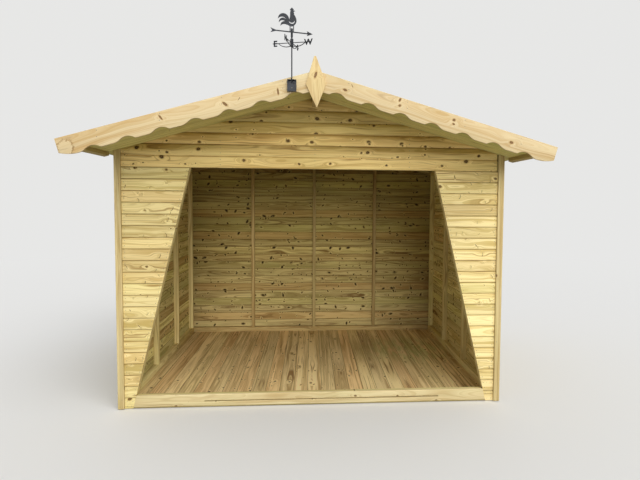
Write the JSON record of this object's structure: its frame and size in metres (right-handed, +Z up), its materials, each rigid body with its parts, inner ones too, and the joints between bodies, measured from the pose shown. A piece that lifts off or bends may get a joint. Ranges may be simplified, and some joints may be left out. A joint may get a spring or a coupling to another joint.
{
  "type": "open-fronted garden shelter",
  "caption": "Open-fronted timber garden shelter with leaning door jambs, an apex roof over a deep front canopy, scalloped fascias, diamond finials and a turning weather vane.",
  "frame": {"origin": "on the ground at the middle of the walls, at the underside of the middle floor bearer", "axes": "+X to the right seen from the front, +Y from the open front to the back, +Z up"},
  "size_m": [3.243, 3.447, 2.856],
  "materials": {
    "cladding": "sawn",
    "framing": "sawn",
    "flooring": "sawn",
    "trim": "planed",
    "felt": "mineral",
    "black_metal": "satin"
  },
  "bodies": {
    "shelter": {"floor_bearers": "framing", "floor_deck": "flooring", "threshold_board": "trim", "front_sill_rail": "framing", "front_head_rail": "framing", "front_jamb_studs": "framing", "front_studs": "framing", "front_gable_rafters": "framing", "front_gable_cladding": "cladding", "front_corner_trims": "trim", "back_rails": "framing", "back_studs": "framing", "back_gable_rafters": "framing", "back_cladding": "cladding", "back_corner_trims": "trim", "front_panel_left": "cladding", "front_panel_right": "cladding", "left_wall_rails": "framing", "right_wall_rails": "framing", "left_wall_studs": "framing", "right_wall_studs": "framing", "left_wall_cladding": "cladding", "right_wall_cladding": "cladding", "roof_boarding_left": "cladding", "roof_boarding_right": "cladding", "roof_felt_left": "felt", "roof_felt_right": "felt", "front_fascia_left": "trim", "front_fascia_right": "trim", "back_fascia_left": "trim", "back_fascia_right": "trim", "side_corner_trims": "trim", "ridge_beam": "framing", "middle_rafters": "framing", "canopy_rafters": "framing", "eaves_battens": "framing", "ridge_cap": "felt", "front_finial": "trim", "back_finial": "trim", "vane_bracket": "black_metal", "vane_rod": "black_metal", "vane_compass_arms": "black_metal"},
    "vane": {"vane_sleeve": "black_metal", "vane_arrow": "black_metal", "vane_cockerel": "black_metal"}
  },
  "joints": [
    {"name": "vane_turn", "type": "hinge", "parent": "shelter", "child": "vane", "pos_m": [-0.154, -1.9985, 2.7055], "axis": [0, 0, 1], "continuous": true}
  ]
}
